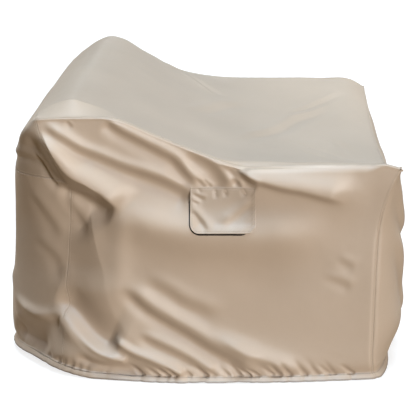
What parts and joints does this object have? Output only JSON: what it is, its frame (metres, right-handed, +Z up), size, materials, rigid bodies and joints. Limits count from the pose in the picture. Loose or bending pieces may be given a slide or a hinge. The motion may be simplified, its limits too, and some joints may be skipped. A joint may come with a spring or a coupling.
{
  "type": "fitted outdoor sofa cover",
  "caption": "Fitted cloth cover for a two-seat outdoor sofa, open below, with sloped arms, a raised back, a wide hem and a flapped air vent on one end.",
  "frame": {"origin": "middle of the cover's footprint, on the surface that its hem reaches", "axes": "+X along the sofa away from the end with the air vent, +Y towards the sofa's back, +Z up"},
  "size_m": [1.404, 1.1696, 0.7898],
  "materials": {
    "cloth_top": "coated woven polyester, satin",
    "cloth_near_end": "coated woven polyester, satin",
    "cloth_far_end": "coated woven polyester, satin",
    "cloth_back": "coated woven polyester, satin",
    "cloth_front": "coated woven polyester, satin",
    "cloth_flap": "coated woven polyester, satin",
    "mesh_dark": "fine dark net, matt"
  },
  "bodies": {
    "root": {"top_panel": "cloth_top", "near_end_panel": "cloth_near_end", "far_end_panel": "cloth_far_end", "back_skirt": "cloth_back", "front_skirt": "cloth_front", "vent_flap": "cloth_flap", "vent_mesh": "mesh_dark"}
  },
  "joints": []
}
